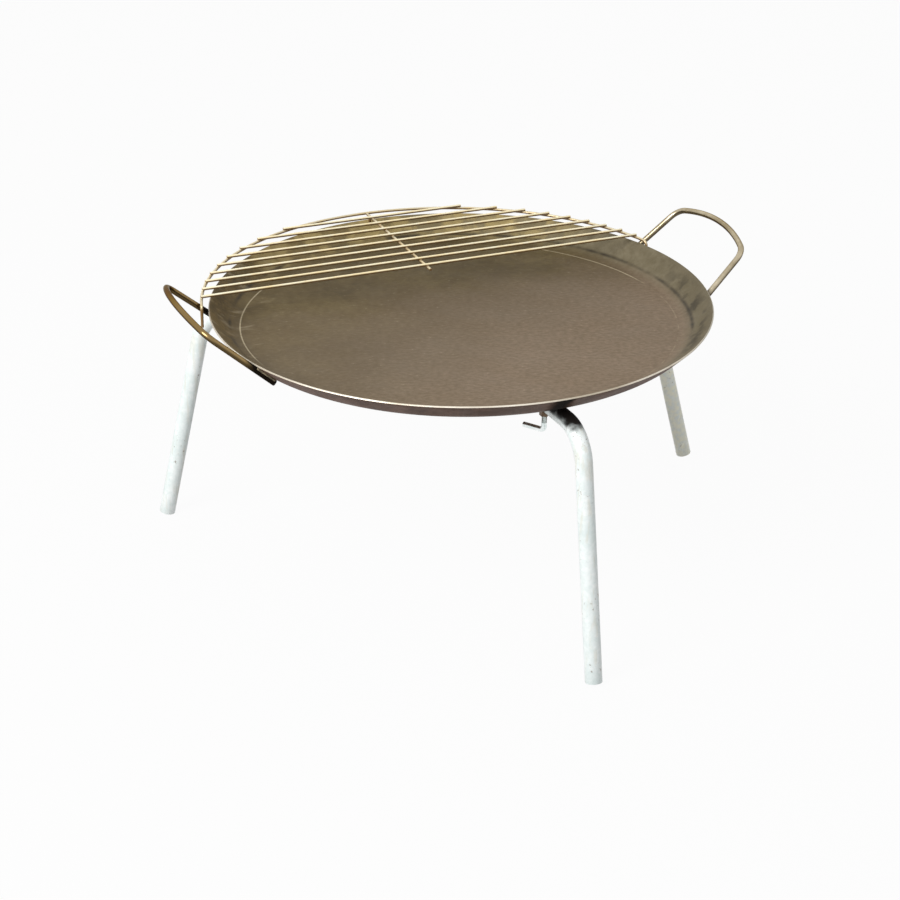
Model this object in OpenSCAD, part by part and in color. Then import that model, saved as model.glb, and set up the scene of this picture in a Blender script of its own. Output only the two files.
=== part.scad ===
// Round dished griddle plate on three clamped tube legs, with a lift-off wire warming rack.
// Millimetres, +Z up, +X towards the right handle, +Y towards the rack.
// The origin is the centre of the cooking floor's top face.

/* [Plate] */
// Outer radius of the plate at its rim
plate_r = 290; // [240:1:380]
// Thickness of the pressed sheet
plate_t = 2; // [1.5:0.1:3]
// Depth from the rim down to the cooking floor
dish_depth = 24.5; // [18:0.5:32]
// Slope of the conical rim above level
rim_angle = 45; // [35:1:55]
// Inside radius of the bend between the floor and the rim
bend_r = 32; // [10:1:34]

/* [Handles] */
// Diameter of the round handle rod
rod_d = 7; // [6:0.5:10]
// Half the spacing of the two arms where they pass the rim
arm_half_w = 85.5; // [70:0.5:100]
// Lean of each arm towards the other, measured in the handle's plane
arm_taper = 7.6; // [0:0.1:12]
// Slope of the handle above level
handle_slope = 41.3; // [30:0.1:48]
// Reach of the grip past the rim along that slope
handle_reach = 78; // [70:0.5:110]
// Bow radius of the grip
grip_r = 193; // [150:1:320]
// Bend radius between arm and grip
corner_r = 20.5; // [12:0.5:25]
// Length of arm lying against the outside of the rim
arm_tail = 29.5; // [10:0.5:31]

/* [Legs] */
// Outside diameter of the leg tube
tube_d = 19; // [16:0.5:22]
// Wall of the leg tube
tube_wall = 1.5; // [1:0.1:2.5]
// Height of the rim above the ground
rim_height = 309.5; // [250:0.5:420]
// Step of each foot outside the plate's rim
foot_step = 74; // [55:0.5:130]
// Splay of the leg off the vertical
leg_splay = 12.3; // [8:0.1:15]
// Bend radius of the tube's centre line
leg_bend_r = 43; // [36:1:50]
// Direction of the front leg
front_az = 271.3; // [262:0.1:278]
// Direction of the left leg
left_az = 147; // [140:0.1:154]
// Direction of the right leg
right_az = 18.4; // [12:0.1:24]
// Lean of the front leg to one side, turned about its socket
front_lean = -1.5; // [-8:0.1:8]
// Lean of the left leg to one side, turned about its socket
left_lean = 2.1; // [-8:0.1:8]
// Lean of the right leg to one side, turned about its socket
right_lean = -7.4; // [-9:0.1:9]
// Pull of the front leg in its socket
front_pull = -5; // [-6:0.5:6]
// Pull of the left leg in its socket
left_pull = 2; // [-6:0.5:6]
// Pull of the right leg in its socket
right_pull = 3; // [-6:0.5:6]

/* [Leg sockets] */
// Outside diameter of the socket tube
socket_d = 23; // [21:0.5:27]
// Clearance round the leg tube in its socket
socket_gap = 0.4; // [0.3:0.05:0.6]
// Step of the socket's mouth inside the plate's rim
socket_step = 64; // [48:1:70]
// Length of the socket
socket_l = 70; // [60:1:100]
// Set-back of the leg's end behind the socket's inner end
leg_setback = 6; // [1:0.5:8]

/* [Clamp screws] */
// Diameter of the clamp screw's rod
screw_d = 6; // [5:0.5:7]
// Set-back of the screw behind the socket's mouth
screw_setback = 12; // [10:0.5:30]
// Drop of the screw's arm below the socket
screw_drop = 23; // [16:0.5:30]
// Length of the screw's arm from the screw's axis
screw_arm = 26; // [18:0.5:30]
// Bend radius of the screw's rod
screw_bend_r = 4.5; // [4:0.5:6]
// Width of the welded nut across its flats
nut_w = 10; // [9:0.5:12]
// Height of the welded nut below the socket
nut_h = 5; // [4:0.5:7]
// Turn of the front screw's arm off the inward direction
front_turn = 32; // [-180:1:180]
// Turn of the left screw's arm off the inward direction
left_turn = -40; // [-180:1:180]
// Turn of the right screw's arm off the inward direction
right_turn = 60; // [-180:1:180]

/* [Warming rack] */
// Diameter of the rack wire
wire_d = 3.5; // [3:0.1:4]
// Step of the rack's arc outside the plate's rim
ring_step = 4.5; // [4:0.5:7]
// Sideways shift of the loose rack on the handles
rack_shift = -2.7; // [-3:0.1:3]
// Step of the front bar behind the handle arms
front_bar_step = 7.5; // [6:0.5:12]
// Step of the back bar inside the rack's arc
back_bar_step = 25; // [18:0.5:30]
// Length of each bar's end past the arc, measured radially
bar_end = 0.5; // [0.5:0.5:4]
// Sideways place of the cross bar on the rack
cross_bar_x = 0; // [-12:0.5:12]
// Length of the cross bar past the front bar
cross_bar_end = 9; // [4:0.5:15]
// Set-back of the rack's foot inside the plate's rim
foot_setback = 8; // [7:0.5:10]
// Bend radius of the rack's hooked ends
hook_bend_r = 6; // [4:0.5:6]
// Length of the rack's hooked ends below the bend
hook_l = 20; // [10:0.5:22]

/* [Fits] */
// Depth to which welded rods and wires sink into each other
weld_sink = 0.2; // [0.1:0.05:0.4]
// Gap under pieces that only rest on others
rest_gap = 0.3; // [0.2:0.05:0.5]
// Running clearance round the clamp screw in its nut
screw_gap = 0.05; // [0.02:0.01:0.1]
// Swell of bent stretches over straight ones, on the radius
bend_swell = 0.06; // [0.05:0.01:0.1]

/* [View] */
// Piece to draw, or all of them

/* [Hidden] */
$fn = 64;
bar_count = 9;
// facets of the plate's bend, and the length by which straight stretches run into bent ones
bend_steps = 24;
lap = 0.3;
rod_r = rod_d / 2;
wire_r = wire_d / 2;
tube_r = tube_d / 2;
socket_r = socket_d / 2;
bore_r = tube_r + socket_gap;
screw_r = screw_d / 2;
// clear hole in the socket wall for the screw's end
screw_hole_r = screw_r + rest_gap;

// Plate section: floor, bend and cone, seen from the axis outwards
rim_edge_r = plate_r - plate_t * sin(rim_angle);
cone_rise = dish_depth - bend_r * (1 - cos(rim_angle));
floor_r = rim_edge_r - cone_rise / tan(rim_angle) - bend_r * sin(rim_angle);
outer_edge_z = dish_depth - plate_t * cos(rim_angle);

// Handle arms lie against the outside of the cone and pass its edge here
arm_off = rod_r - weld_sink;
arm_rim_r = plate_r + arm_off * sin(rim_angle);
arm_z = outer_edge_z - arm_off * cos(rim_angle);
arm_x = sqrt(arm_rim_r * arm_rim_r - arm_half_w * arm_half_w);
taper_k = tan(arm_taper);
grip_cx = handle_reach - grip_r;
corner_k = arm_half_w - corner_r / cos(arm_taper);
corner_a = 1 + taper_k * taper_k;
corner_b = grip_cx + taper_k * corner_k;
corner_c = grip_cx * grip_cx + corner_k * corner_k - (grip_r - corner_r) * (grip_r - corner_r);
corner_x = (corner_b + sqrt(corner_b * corner_b - corner_a * corner_c)) / corner_a;
corner_y = corner_k - taper_k * corner_x;
grip_half = atan2(corner_y, corner_x - grip_cx);
arm_l = (corner_x + corner_r * sin(arm_taper)) / cos(arm_taper);

// Legs
leg_turn = 90 - leg_splay;
ground_z = dish_depth - rim_height;
foot_r = plate_r + foot_step;
socket_mouth_r = plate_r - socket_step;
socket_z = -plate_t - socket_r + weld_sink;
leg_knee_r = foot_r - leg_drop(0) * tan(leg_splay);
leg_bend_x = leg_knee_r - leg_bend_r * tan(leg_turn / 2);
leg_bend_end_x = leg_bend_x + leg_bend_r * sin(leg_turn);
leg_bend_end_z = socket_z - leg_bend_r * (1 - cos(leg_turn));
leg_end_r = socket_mouth_r - socket_l + leg_setback;

// Clamp screws
screw_x = socket_mouth_r - screw_setback;
screw_tip_z = socket_z - tube_r - rest_gap;
screw_arm_z = socket_z - socket_r - screw_drop;
nut_corner_r = nut_w / 2 / cos(30);

// Warming rack: its arc rests on the far arm of each handle
ring_r = plate_r + ring_step;
arm_c = cos(handle_slope);
arm_s = sin(handle_slope);
cross_a = arm_c * arm_c + taper_k * taper_k;
cross_b = arm_x * arm_c - arm_half_w * taper_k;
cross_c = arm_rim_r * arm_rim_r - ring_r * ring_r;
cross_u = (-cross_b + sqrt(cross_b * cross_b - cross_a * cross_c)) / cross_a;
cross_x = arm_x + cross_u * arm_c;
cross_y = arm_half_w - cross_u * taper_k;
over_v = cross([arm_c, -taper_k, arm_s], [-cross_y, cross_x, 0]);
ring_z = arm_z + cross_u * arm_s + (rod_r + wire_r + rest_gap) * norm(over_v) / over_v[2];
bar_z = ring_z + wire_d - weld_sink;
hook_az = atan2(cross_y, cross_x) - (rod_r + wire_r) / ring_r * 180 / PI;
rack_roll = -atan(rack_shift * tan(handle_slope) / cross_x);
front_bar_y = cross_y + front_bar_step;
bar_pitch = (ring_r - back_bar_step - front_bar_y) / (bar_count - 1);
rack_foot_y = plate_r - foot_setback;
rack_foot_r = norm([cross_bar_x, rack_foot_y]) + wire_r;
rack_foot_z = dish_depth - (rim_edge_r - rack_foot_r) * tan(rim_angle) + rest_gap;
cross_bar_y = front_bar_y - cross_bar_end;
cross_bar_back_y = sqrt(ring_r * ring_r - cross_bar_x * cross_bar_x) - wire_d + weld_sink;

RACK_BARS = [for (i = [1:bar_count]) str("rack_bar_", i)];

// Straight rod along +X, run into the bent stretches at its ends
module rod_x(r, l, lap_0 = 0, lap_1 = 0) {
  translate([-lap_0, 0, 0])
    rotate([0, 90, 0])
      cylinder(r = r, h = l + lap_0 + lap_1);
}

// Rod bent to an arc about the origin, from the +X direction through the angle turn
module rod_arc(r, bend, turn) {
  rotate_extrude(angle = turn)
    translate([bend, 0])
      circle(r = r);
}

// Point of the plate's bend at the angle a, on the radius r
function bend_point(r, a) = [floor_r + r * sin(a), bend_r - r * cos(a)];

// Half section of the dished sheet: flat floor, bend, then cone with a square-cut edge
module plate_section() {
  steps = [for (k = [0:bend_steps]) k * rim_angle / bend_steps];
  under = [for (a = steps) bend_point(bend_r + plate_t, a)];
  over = [for (k = [bend_steps:-1:0]) bend_point(bend_r, steps[k])];
  edge = [[plate_r, outer_edge_z], [rim_edge_r, dish_depth]];
  polygon(concat([[0, -plate_t]], under, edge, over, [[0, 0]]));
}

module griddle_plate() {
  color([0.42, 0.37, 0.31])
    rotate_extrude()
      plate_section();
}

// One handle in its own plane: two arms, two corners and a bowed grip, bent from one rod
module handle_loop() {
  grip_lap = lap / grip_r * 180 / PI;
  translate([grip_cx, 0, 0])
    rotate([0, 0, -grip_half - grip_lap])
      rod_arc(rod_r, grip_r, 2 * (grip_half + grip_lap));
  for (side = [0, 1])
    mirror([0, side, 0]) {
      translate([corner_x, corner_y, 0])
        rotate([0, 0, grip_half])
          rod_arc(rod_r + bend_swell, corner_r, 90 - arm_taper - grip_half);
      translate([0, arm_half_w, 0])
        rotate([0, 0, -arm_taper])
          translate([-arm_tail, 0, 0])
            rod_x(rod_r, arm_tail + arm_l, 0, lap);
    }
}

module handle() {
  color([0.55, 0.5, 0.43])
    translate([arm_x, 0, arm_z])
      rotate([0, -handle_slope, 0])
        handle_loop();
}

module handle_right() {
  handle();
}

module handle_left() {
  rotate([0, 0, 180])
    handle();
}

// Socket tube under the floor, pointing outwards, with a clear hole for the screw's end
module leg_socket() {
  color([0.4, 0.36, 0.32])
    difference() {
      translate([socket_mouth_r - socket_l, 0, socket_z])
        rod_x(socket_r, socket_l);
      translate([socket_mouth_r - socket_l, 0, socket_z])
        rod_x(bore_r, socket_l, 1, 1);
      translate([screw_x, 0, socket_z - socket_r - 1])
        cylinder(r = screw_hole_r, h = socket_r);
    }
}

// Nut welded under the socket, saddled to the socket's wall
module clamp_nut() {
  color([0.5, 0.5, 0.5])
    difference() {
      translate([screw_x, 0, socket_z - socket_r - nut_h])
        cylinder(r = nut_corner_r, h = nut_h + socket_r / 2, $fn = 6);
      translate([socket_mouth_r - socket_l, 0, socket_z])
        rod_x(socket_r - weld_sink / 2, socket_l);
      translate([screw_x, 0, socket_z - socket_r - nut_h - 1])
        cylinder(r = screw_r + screw_gap, h = nut_h + socket_r);
    }
}

// Clamp screw bent to an L: its end bears on the leg tube, its arm turns it
module clamp_screw(turn) {
  color([0.7, 0.7, 0.68])
    translate([screw_x, 0, screw_arm_z])
      rotate([0, 0, 180 + turn]) {
        translate([0, 0, screw_bend_r - lap])
          cylinder(r = screw_r, h = screw_tip_z - screw_arm_z - screw_bend_r + lap);
        translate([screw_bend_r, 0, screw_bend_r])
          rotate([90, 0, 0])
            rotate([0, 0, 180])
              rod_arc(screw_r + bend_swell, screw_bend_r, 90);
        translate([screw_bend_r, 0, 0])
          rod_x(screw_r, screw_arm - screw_bend_r, lap, 0);
      }
}

// Drop of a foot's centre below its socket, measured in the plane of a leg with this lean
function leg_drop(lean) =
  (socket_z - ground_z - tube_r * sin(acos(cos(leg_splay) * cos(lean)))) / cos(lean);

// Path of a leg as a solid rod: level end, one bend, then the splayed straight to the ground
module leg_path(r, past, lean) {
  leg_l = (leg_drop(lean) + leg_bend_end_z - socket_z) / cos(leg_splay);
  translate([leg_end_r, 0, socket_z])
    rod_x(r, leg_bend_x - leg_end_r, past, lap);
  translate([leg_bend_x, 0, socket_z - leg_bend_r])
    rotate([90, 0, 0])
      rotate([0, 0, leg_splay])
        rod_arc(r + bend_swell, leg_bend_r, leg_turn);
  translate([leg_bend_end_x, 0, leg_bend_end_z])
    rotate([0, leg_turn, 0])
      rod_x(r, leg_l, lap, past);
}

// Leg tube, open at both ends, turned in its socket by the lean and drawn out by the pull
module leg(lean, pull) {
  color([0.82, 0.85, 0.84])
    translate([pull, 0, socket_z])
      rotate([lean, 0, 0])
        translate([0, 0, -socket_z])
          difference() {
            leg_path(tube_r, 0, lean);
            leg_path(tube_r - tube_wall, 1, lean);
          }
}

module leg_socket_front() {
  rotate([0, 0, front_az])
    leg_socket();
}

module leg_socket_left() {
  rotate([0, 0, left_az])
    leg_socket();
}

module leg_socket_right() {
  rotate([0, 0, right_az])
    leg_socket();
}

module clamp_nut_front() {
  rotate([0, 0, front_az])
    clamp_nut();
}

module clamp_nut_left() {
  rotate([0, 0, left_az])
    clamp_nut();
}

module clamp_nut_right() {
  rotate([0, 0, right_az])
    clamp_nut();
}

module clamp_screw_front() {
  rotate([0, 0, front_az])
    clamp_screw(front_turn);
}

module clamp_screw_left() {
  rotate([0, 0, left_az])
    clamp_screw(left_turn);
}

module clamp_screw_right() {
  rotate([0, 0, right_az])
    clamp_screw(right_turn);
}

module leg_front() {
  rotate([0, 0, front_az])
    leg(front_lean, front_pull);
}

module leg_left() {
  rotate([0, 0, left_az])
    leg(left_lean, left_pull);
}

module leg_right() {
  rotate([0, 0, right_az])
    leg(right_lean, right_pull);
}

// Place of the loose rack: shifted sideways, and rolled so that it rests on both handles
module rack_place() {
  translate([rack_shift, 0, ring_z])
    rotate([0, rack_roll, 0])
      translate([0, 0, -ring_z])
        children();
}

// Hooked end of the rack's arc, turning down in front of the handle's far arm
module rack_hook() {
  rotate([0, 0, hook_az])
    translate([ring_r, 0, ring_z])
      rotate([0, 0, -90]) {
        translate([0, 0, -hook_bend_r])
          rotate([90, 0, 0])
            rod_arc(wire_r + bend_swell, hook_bend_r, 90);
        translate([hook_bend_r, 0, -hook_bend_r - hook_l])
          cylinder(r = wire_r, h = hook_l + lap);
      }
}

module rack_rim_wire() {
  ring_lap = lap / ring_r * 180 / PI;
  color([0.78, 0.7, 0.56])
    rack_place() {
      translate([0, 0, ring_z])
        rotate([0, 0, hook_az - ring_lap])
          rod_arc(wire_r, ring_r, 180 - 2 * (hook_az - ring_lap));
      rack_hook();
      mirror([1, 0, 0])
        rack_hook();
    }
}

// Straight bar number i, counted from the front, lying on the arc and the cross bar
module rack_bar(i) {
  bar_y = front_bar_y + (i - 1) * bar_pitch;
  half = sqrt((ring_r + bar_end) * (ring_r + bar_end) - bar_y * bar_y);
  color([0.83, 0.76, 0.6])
    rack_place()
      translate([-half, bar_y, bar_z])
        rod_x(wire_r, 2 * half);
}

module rack_cross_bar() {
  color([0.72, 0.63, 0.48])
    rack_place()
      translate([cross_bar_x, cross_bar_y, ring_z])
        rotate([-90, 0, 0])
          cylinder(r = wire_r, h = cross_bar_back_y - cross_bar_y);
}

// Peg under the cross bar that stands on the plate's sloping rim
module rack_foot() {
  color([0.6, 0.52, 0.4])
    rack_place()
      translate([cross_bar_x, rack_foot_y, rack_foot_z])
        cylinder(r = wire_r, h = ring_z - wire_r + weld_sink - rack_foot_z);
}

griddle_plate();
handle_left();
handle_right();
leg_socket_front();
leg_socket_left();
leg_socket_right();
clamp_nut_front();
clamp_nut_left();
clamp_nut_right();
clamp_screw_front();
clamp_screw_left();
clamp_screw_right();
leg_front();
leg_left();
leg_right();
rack_rim_wire();
rack_cross_bar();
rack_foot();
for (i = [1:bar_count])
  rack_bar(i);
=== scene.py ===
from math import acos, atan, atan2, cos, hypot, pi, radians, sin, sqrt, tan

import bmesh
import bpy
from bpy.props import FloatProperty, FloatVectorProperty, IntProperty, PointerProperty
from mathutils import Matrix, Vector


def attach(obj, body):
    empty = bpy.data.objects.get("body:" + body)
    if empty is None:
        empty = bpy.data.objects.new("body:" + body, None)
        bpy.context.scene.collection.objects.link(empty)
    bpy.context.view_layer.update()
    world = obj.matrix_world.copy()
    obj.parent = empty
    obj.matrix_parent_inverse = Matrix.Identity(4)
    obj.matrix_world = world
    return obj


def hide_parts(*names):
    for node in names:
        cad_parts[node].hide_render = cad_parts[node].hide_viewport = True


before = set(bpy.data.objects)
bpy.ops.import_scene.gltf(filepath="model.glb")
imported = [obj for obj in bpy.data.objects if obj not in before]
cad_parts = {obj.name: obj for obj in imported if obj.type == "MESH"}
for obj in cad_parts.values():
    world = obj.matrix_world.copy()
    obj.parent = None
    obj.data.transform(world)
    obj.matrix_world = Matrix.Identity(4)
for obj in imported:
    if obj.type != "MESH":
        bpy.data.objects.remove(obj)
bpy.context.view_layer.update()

bl_info = {
    "name": "Camp griddle plate",
    "version": (1, 0, 0),
    "blender": (4, 5, 0),
    "location": "View3D > Sidebar > Griddle",
    "description": "Builds a dished griddle plate on clamped tube legs with a wire warming rack",
    "category": "Object",
}

SIDES = ("front", "left", "right")

ROD_SIDES, TUBE_SIDES, WIRE_SIDES, BEAD_SIDES = 28, 48, 20, 12
FLOOR_STEPS, WALL_STEPS, DISH_BEND_STEPS = 14, 4, 16
THREAD_STEPS = 24
THREAD_FLANK, THREAD_CREST, THREAD_SPARE_TURNS = 0.44, 0.12, 2
BEAD_SWELL, BEAD_DENT, BEAD_TAPER = 1.5, 0.9, 0.5
NUGGET_SQUASH = (0.92, 0.92, 0.5)
SHARP_ANGLE = radians(38)
MERGE_DISTANCE = 1e-6
SAME_RADIUS = 1e-5
WHITE = (1, 1, 1, 1)


# Settings

def length(name, description, default):
    return FloatProperty(name=name, description=description, default=default, unit="LENGTH", precision=5)


def angle(name, description, degrees):
    return FloatProperty(name=name, description=description, default=radians(degrees), subtype="ANGLE")


def colour(name, description, red, green, blue):
    """A colour given as display values from 0 to 255, kept as the linear values that shaders use."""
    linear = [(v / 255 / 12.92) if v < 10.3 else ((v / 255 + 0.055) / 1.055) ** 2.4 for v in (red, green, blue)]
    return FloatVectorProperty(
        name=name, description=description, default=linear, size=3, min=0, max=1, subtype="COLOR")


def spot(name, description, x, y, z):
    return FloatVectorProperty(
        name=name, description=description, default=(x, y, z), size=3, subtype="TRANSLATION", unit="LENGTH",
        precision=5)


def fraction(name, description, default):
    return FloatProperty(name=name, description=description, default=default, min=0, max=1, subtype="FACTOR")


class PlateSettings(bpy.types.PropertyGroup):
    radius: length("Radius", "Outer radius at the rim", 0.29)
    thickness: length("Sheet", "Thickness of the pressed sheet", 0.002)
    depth: length("Depth", "Depth from the rim to the cooking floor", 0.0245)
    rim_slope: angle("Rim slope", "Slope of the conical rim above level", 45)
    bend_radius: length("Bend", "Inside radius of the bend under the rim", 0.032)
    edge_round: length("Edge round", "Rounding of the cut edge", 0.0004)
    steps: IntProperty(name="Steps", description="Steps of the full turn", default=288, min=32)


class HandleSettings(bpy.types.PropertyGroup):
    rod: length("Rod", "Diameter of the handle rod", 0.007)
    arm_half: length("Half spacing", "Half the spacing of the arms at the rim", 0.0855)
    arm_lean: angle("Lean", "Lean of each arm towards the other", 7.6)
    slope: angle("Slope", "Slope of the handle above level", 41.3)
    reach: length("Reach", "Reach of the grip past the rim, along the slope", 0.078)
    grip_radius: length("Grip bow", "Bow radius of the grip", 0.193)
    corner_radius: length("Corner", "Bend radius between arm and grip", 0.0205)
    tail: length("Tail", "Length of arm lying against the rim", 0.0295)
    sink: length("Weld sink", "Depth to which the rod sinks into the rim", 0.0002)
    end_round: length("End round", "Rounding of the rod's cut ends", 0.0004)
    bead: length("Bead", "Radius of the weld beads along the arms", 0.0016)
    bead_pitch: length("Bead pitch", "Length of one ripple of a bead", 0.0022)
    bead_setback: length("Bead set-back", "Set-back of a bead from both ends of the tail", 0.002)
    bead_depth: length("Bead depth", "Depth of a bead's middle below the rim's underside", 0.0013)
    bead_aside: length("Bead aside", "Distance of a bead to each side of the rod's middle", 0.0029)


class LegSettings(bpy.types.PropertyGroup):
    tube: length("Tube", "Outside diameter of the leg tube", 0.019)
    wall: length("Wall", "Wall of the leg tube", 0.0015)
    rim_height: length("Rim height", "Height of the rim above the ground", 0.3095)
    foot_step: length("Foot step", "Step of each foot outside the plate's rim", 0.074)
    splay: angle("Splay", "Splay of the leg off the vertical", 12.3)
    bend_radius: length("Bend", "Bend radius of the tube's centre line", 0.043)
    socket: length("Socket", "Outside diameter of the socket tube", 0.023)
    socket_step: length("Socket step", "Step of the socket's mouth inside the plate's rim", 0.064)
    socket_length: length("Socket length", "Length of the socket tube", 0.07)
    setback: length("Set-back", "Set-back of the leg's end behind the socket's inner end", 0.006)
    end_round: length("End round", "Rounding of the tube's cut ends", 0.0004)
    bead: length("Bead", "Radius of the weld beads along the sockets", 0.0017)
    bead_pitch: length("Bead pitch", "Length of one ripple of a bead", 0.0026)
    bead_setback: length("Bead set-back", "Set-back of a bead from both ends of the socket", 0.008)
    bead_depth: length("Bead depth", "Depth of a bead's middle below the plate's underside", 0.0008)
    bead_aside: fraction("Bead aside", "Distance of a bead to each side, as a share of the socket's radius", 0.36)
    front: angle("Front", "Direction of the front leg", 271.3)
    left: angle("Left", "Direction of the left leg", 147)
    right: angle("Right", "Direction of the right leg", 18.4)
    front_lean: angle("Front lean", "Turn of the front leg in its socket", -1.5)
    left_lean: angle("Left lean", "Turn of the left leg in its socket", 2.1)
    right_lean: angle("Right lean", "Turn of the right leg in its socket", -7.4)
    front_pull: length("Front pull", "Pull of the front leg in its socket", -0.005)
    left_pull: length("Left pull", "Pull of the left leg in its socket", 0.002)
    right_pull: length("Right pull", "Pull of the right leg in its socket", 0.003)


class ScrewSettings(bpy.types.PropertyGroup):
    rod: length("Rod", "Diameter of the clamp screw's rod", 0.006)
    setback: length("Set-back", "Set-back behind the socket's mouth", 0.012)
    drop: length("Drop", "Drop of the arm below the socket", 0.023)
    arm: length("Arm", "Length of the arm from the screw's axis", 0.026)
    bend_radius: length("Bend", "Bend radius of the rod", 0.0045)
    gap: length("Gap", "Gap under the leg tube", 0.0003)
    pitch: length("Pitch", "Pitch of the thread", 0.001)
    thread_depth: length("Thread depth", "Depth of the thread", 0.0005)
    thread_length: length("Thread length", "Length of the thread from the tip", 0.0155)
    end_round: length("End round", "Rounding of the arm's cut end", 0.0005)
    front: angle("Front", "Turn of the front screw's arm off the inward direction", 32)
    left: angle("Left", "Turn of the left screw's arm off the inward direction", -40)
    right: angle("Right", "Turn of the right screw's arm off the inward direction", 60)


class RackSettings(bpy.types.PropertyGroup):
    wire: length("Wire", "Diameter of the rack wire", 0.0035)
    ring_step: length("Arc step", "Step of the arc outside the plate's rim", 0.0045)
    shift: length("Shift", "Sideways shift of the loose rack on the handles", -0.0027)
    front_step: length("Front bar", "Step of the front bar behind the handle arms", 0.0075)
    back_step: length("Back bar", "Step of the back bar inside the arc", 0.025)
    bars: IntProperty(name="Bars", description="Number of bars", default=9, min=1)
    bar_end: length("Bar end", "Length of each bar's end past the arc", 0.0005)
    cross_x: length("Cross bar", "Sideways place of the cross bar", 0)
    cross_end: length("Cross bar end", "Length of the cross bar past the front bar", 0.009)
    foot_setback: length("Foot", "Set-back of the foot inside the rim", 0.008)
    hook_bend: length("Hook bend", "Bend radius of the hooked ends", 0.006)
    hook: length("Hook", "Length of the hooked ends below the bend", 0.02)
    gap: length("Gap", "Gap under the arc where it rests", 0.0003)
    sink: length("Weld sink", "Depth to which crossing wires sink into each other", 0.0002)
    end_round: length("End round", "Rounding of the wires' cut ends", 0.0003)


class FinishSettings(bpy.types.PropertyGroup):
    floor_light: colour("Floor light", "Lighter tone of the cooking floor", 136, 117, 96)
    floor_dark: colour("Floor dark", "Darker tone of the cooking floor", 102, 88, 67)
    # Olive tones, used partly for oil and partly as painted shade at the back and one side
    oil_light: colour("Oil light", "Lighter tone of the oiled part of the floor", 113, 98, 64)
    oil_dark: colour("Oil dark", "Darker tone of the oiled part of the floor", 77, 64, 37)
    wall_light: colour("Wall light", "Lighter tone of the sloping rim", 128, 119, 97)
    wall_dark: colour("Wall dark", "Darker tone of the sloping rim", 98, 89, 67)
    # Brown of the rim on that side, partly oil and partly painted shade
    wall_brown: colour("Wall brown", "Brown tone of the oiled side of the rim", 122, 100, 56)
    wall_pale: colour("Wall pale", "Pale tone of the rim under the rack", 172, 153, 104)
    bend: colour("Bend", "Dark line and blotches in the bend", 40, 34, 24)
    under_light: colour("Underside light", "Lighter tone of the underside", 110, 84, 70)
    under_dark: colour("Underside dark", "Darker tone of the underside", 70, 51, 40)
    cut_edge: colour("Cut edge", "Bright cut edge of the sheet", 247, 240, 226)
    cut_dull: colour("Cut dull", "Duller stretches of the cut edge", 224, 214, 196)
    scratch: colour("Scratch", "Pale line worn into the floor", 208, 194, 162)
    handle_light: colour("Handle light", "Lighter tone of the handle rods", 216, 205, 180)
    handle_dark: colour("Handle dark", "Darker tone of the handle rods", 146, 132, 104)
    handle_brown: colour("Handle brown", "Brown tone of the tarnished handle", 132, 108, 66)
    # Painted shade on the undersides of the handle rods
    handle_sooty: colour("Handle sooty", "Dark tone under the handle rods", 52, 42, 26)
    # Near black: heat scorch and weld scale, also used as painted shadow under the plate and on the front leg's
    # bend
    scorch_and_shadow: colour("Scorch", "Heat scorch and soot", 20, 15, 11)
    zinc_light: colour("Zinc light", "Lighter tone of the galvanised legs", 250, 253, 252)
    zinc_dark: colour("Zinc dark", "Darker tone of the galvanised legs", 222, 233, 231)
    # Cream weathering tint of the right leg, made pale as painted light
    weathered_and_lit: colour("Weathered zinc", "Cream tone of the weathered leg", 252, 250, 230)
    rust: colour("Rust", "Rust specks on the zinc", 116, 92, 62)
    wire_light: colour("Wire light", "Lighter tone of the rack wire", 255, 250, 222)
    wire_dark: colour("Wire dark", "Darker tone of the rack wire", 253, 232, 180)
    # Brown tone laid on as painted shade: on the wire's underside and on wires lying in shade
    wire_brown: colour("Wire brown", "Tarnish on the underside of the rack wire", 122, 86, 36)
    socket_light: colour("Socket light", "Lighter tone of the sockets and nuts", 132, 106, 82)
    socket_dark: colour("Socket dark", "Darker tone of the sockets and nuts", 78, 60, 44)
    bend_line: length("Bend line", "Radius of the dark line in the bend", 0.2665)
    blotch_line: length("Blotch line", "Radius of the blotches above the bend", 0.273)
    worn_radius: length("Worn line", "Radius of the pale line worn into the floor", 0.2523)
    worn_centre: spot("Worn centre", "Centre of the worn line", -0.0038, -0.0042, 0)
    rolling: angle("Rolling", "Direction of the sheet's rolling grain", 23.9)


class StageSettings(bpy.types.PropertyGroup):
    camera_place: spot("Camera", "Place of the camera", -0.86521, -1.95403, 0.90286)
    camera_turn: FloatVectorProperty(
        name="Camera turn", description="Turn of the camera", size=3, subtype="EULER",
        default=(radians(63.32977), radians(-0.3469), radians(-23.39887)))
    lens: FloatProperty(name="Lens", description="Focal length on a 36 mm sensor", default=79.929)
    sky: FloatProperty(name="Sky", description="Strength of the light from all round", default=0.36)
    key: FloatProperty(name="Key", description="Power of the key light", default=96, unit="POWER")
    fill: FloatProperty(
        name="Fill", description="Power of the fill light and of the light behind", default=3, unit="POWER")
    key_size: length("Key size", "Diameter of the key light", 1.8)
    fill_size: length("Fill size", "Diameter of the fill light", 2.2)
    back_size: length("Back size", "Diameter of the light behind", 2)
    key_place: spot("Key place", "Place of the key light", -2.32, -0.93, 1.9)
    fill_place: spot("Fill place", "Place of the fill light", 1.6, -1.5, 1.4)
    back_place: spot("Back place", "Place of the light behind", 0.6, 2.4, 2)
    floor_radius: length("Floor", "Radius of the floor", 14)
    floor_grey: fraction("Floor grey", "Grey of the floor where it throws light back", 0.5)
    floor_white: fraction("Floor white", "Share of plain white in the floor as it is seen", 0.96)


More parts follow.
